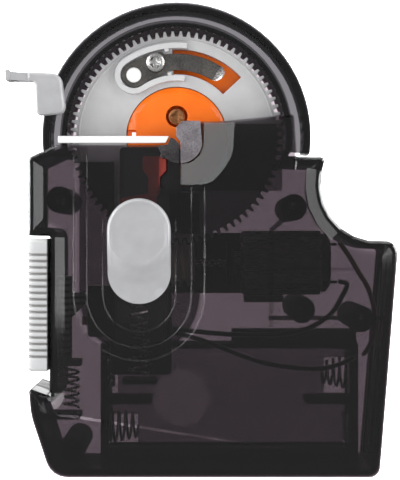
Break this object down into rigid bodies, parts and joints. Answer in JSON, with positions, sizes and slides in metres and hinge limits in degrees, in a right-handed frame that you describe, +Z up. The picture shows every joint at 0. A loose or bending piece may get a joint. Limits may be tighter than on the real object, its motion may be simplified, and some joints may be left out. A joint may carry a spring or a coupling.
{
  "type": "electric fishing hook line wrapper",
  "caption": "Hand-held electric hook tier: smoke casing, arched guard, toothed wrapping gear with line clip, hook jaws, thumb slider and side trigger.",
  "frame": {"origin": "centre of the overall box in plan, on the base plane", "axes": "+Z up along the casing's height, -Y the front with the gear and the thumb slider, +X to the front's right"},
  "size_m": [0.0819, 0.037, 0.0998],
  "materials": {
    "smoke_shell": "smoke-tinted clear styrene, polished mould",
    "black_plastic": "black ABS, polished mould",
    "grey_plastic": "light grey acetal, satin",
    "dark_grey_plastic": "grey ABS, satin",
    "white_plastic": "off-white ABS, satin",
    "orange_plastic": "orange ABS, gloss",
    "red_plastic": "red acetal",
    "natural_plastic": "natural acetal",
    "spring_steel": "nickel-plated spring steel",
    "jaw_steel": "blasted hardened steel",
    "screw_steel": "zinc-plated steel",
    "motor_steel": "drawn plated steel",
    "sintered_brass": "oil-filled sintered bronze",
    "wire_black": "PVC-covered wire",
    "wire_red": "PVC-covered wire"
  },
  "bodies": {
    "casing": {"battery_lead": "wire_black", "battery_tray": "black_plastic", "case_screw_1": "screw_steel", "case_screw_2": "screw_steel", "case_screw_3": "screw_steel", "case_screw_4": "screw_steel", "case_screw_5": "screw_steel", "coil_contact_high": "spring_steel", "coil_contact_low": "spring_steel", "front_shell": "smoke_shell", "gear_guard": "black_plastic", "hub_screw": "screw_steel", "lever_pin": "screw_steel", "line_guide_bar": "white_plastic", "motor_can": "motor_steel", "motor_cradle": "black_plastic", "motor_end_cap": "black_plastic", "motor_lead_a": "wire_red", "motor_lead_b": "wire_black", "orange_hub": "orange_plastic", "plate_contact_high": "spring_steel", "plate_contact_low": "spring_steel", "rear_shell": "smoke_shell", "right_jaw": "jaw_steel", "shaft_bush": "sintered_brass", "slider_spring": "spring_steel", "switch_body": "black_plastic", "trigger_spring": "spring_steel"},
    "gear": {"wrap_gear": "grey_plastic", "line_clip_leaf": "spring_steel", "clip_screw": "screw_steel", "clip_pin": "white_plastic"},
    "worm_shaft": {"worm": "natural_plastic", "motor_shaft": "motor_steel"},
    "clamp": {"thumb_button": "grey_plastic", "jaw_slider": "red_plastic", "left_jaw": "jaw_steel"},
    "trigger": {"side_trigger": "white_plastic"},
    "lever": {"thread_lever": "dark_grey_plastic"},
    "door": {"battery_door": "smoke_shell"},
    "plunger": {"switch_plunger": "red_plastic"}
  },
  "joints": [
    {"name": "wrap_gear_spin", "type": "hinge", "parent": "casing", "child": "gear", "pos_m": [-0.00535, -0.007, 0.0716], "axis": [0, 1, 0], "continuous": true},
    {"name": "worm_spin", "type": "hinge", "parent": "casing", "child": "worm_shaft", "pos_m": [-0.00535, -0.007, 0.04503], "axis": [1, 0, 0], "continuous": true},
    {"name": "clamp_slide", "type": "slide", "parent": "casing", "child": "clamp", "axis": [0, 0, -1], "range_m": [0, 0.005], "stiffness_N_per_m": 120, "springref_m": -0.004, "deforming": ["slider_spring"]},
    {"name": "trigger_slide", "type": "slide", "parent": "casing", "child": "trigger", "axis": [0, 0, -1], "range_m": [0, 0.0032], "stiffness_N_per_m": 150, "springref_m": -0.003, "deforming": ["trigger_spring"]},
    {"name": "lever_swing", "type": "hinge", "parent": "casing", "child": "lever", "pos_m": [-0.0306, -0.015, 0.0796], "axis": [0, 1, 0], "range_deg": [-25, 30]},
    {"name": "door_hinge", "type": "hinge", "parent": "casing", "child": "door", "pos_m": [0.006, 0.0176, 0.0046], "axis": [-1, 0, 0], "range_deg": [0, 92]},
    {"name": "plunger_slide", "type": "slide", "parent": "casing", "child": "plunger", "axis": [1, 0, 0], "range_m": [0, 0.0011]}
  ],
  "couplings": [
    {"joint": "worm_spin", "follows": "wrap_gear_spin", "ratio": 82},
    {"joint": "plunger_slide", "follows": "trigger_slide", "ratio": 0.3125}
  ]
}
